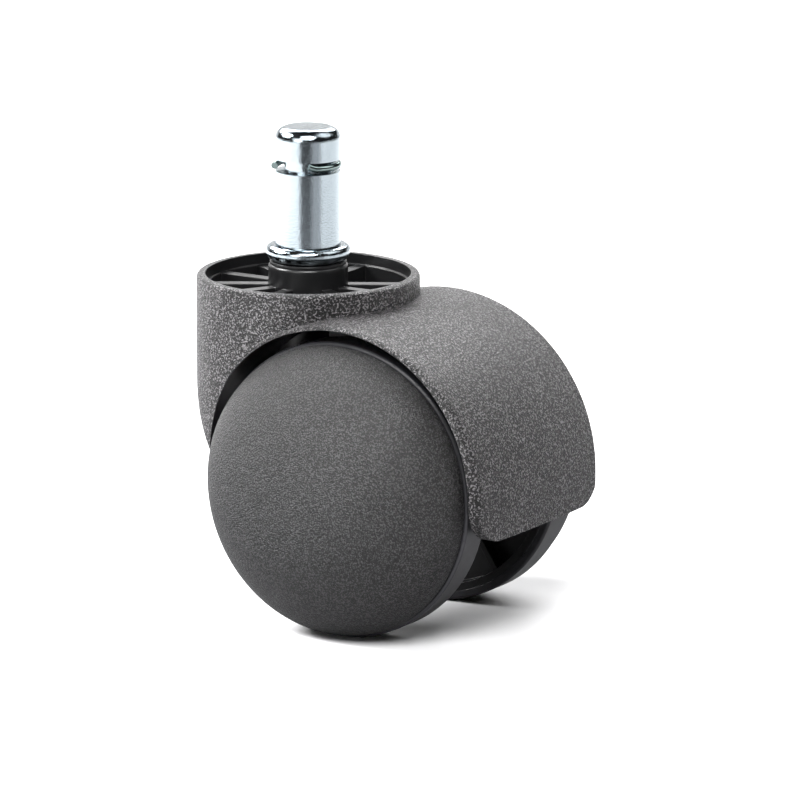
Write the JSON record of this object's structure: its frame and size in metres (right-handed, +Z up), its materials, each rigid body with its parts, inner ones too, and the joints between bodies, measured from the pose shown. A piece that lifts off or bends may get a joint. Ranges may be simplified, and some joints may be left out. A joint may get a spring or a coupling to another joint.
{
  "type": "chair caster wheel",
  "caption": "Hooded twin-wheel swivel caster for an office chair, with an open ribbed crown and a steel grip-ring stem.",
  "frame": {"origin": "on the swivel axis at the top face of the stem's collar, where the caster meets the chair base", "axes": "+Z up along the stem; +X is the trail direction, from the stem back towards the axle; the axle is parallel to Y and the left wheel is on the -Y side"},
  "size_m": [0.0647, 0.0606, 0.0819],
  "materials": {
    "housing_nylon": "spark-eroded grain",
    "cap_nylon": "fine grain",
    "core_nylon": "moulded, satin",
    "tread_polyurethane": "smooth",
    "stem_steel": "bright zinc plated",
    "spring_steel": "oiled spring wire",
    "axle_steel": "drawn, zinc plated",
    "bush_acetal": "moulded, satin"
  },
  "bodies": {
    "stem": {"stem": "stem_steel", "grip_ring": "spring_steel", "keeper_ring": "spring_steel"},
    "hood": {"housing": "housing_nylon", "socket_bush": "bush_acetal", "axle": "axle_steel", "thrust_washer_left": "bush_acetal", "thrust_washer_right": "bush_acetal", "axle_clip_left": "spring_steel", "axle_clip_right": "spring_steel"},
    "wheel_left": {"wheel_core_left": "core_nylon", "wheel_tyre_left": "tread_polyurethane", "wheel_cap_left": "cap_nylon"},
    "wheel_right": {"wheel_core_right": "core_nylon", "wheel_tyre_right": "tread_polyurethane", "wheel_cap_right": "cap_nylon"}
  },
  "joints": [
    {"name": "swivel", "type": "hinge", "parent": "stem", "child": "hood", "pos_m": [0, 0, 0], "axis": [0, 0, 1], "continuous": true},
    {"name": "left_wheel_spin", "type": "hinge", "parent": "hood", "child": "wheel_left", "pos_m": [0.0169, 0, -0.03685], "axis": [0, 1, 0], "continuous": true},
    {"name": "right_wheel_spin", "type": "hinge", "parent": "hood", "child": "wheel_right", "pos_m": [0.0169, 0, -0.03685], "axis": [0, 1, 0], "continuous": true}
  ]
}
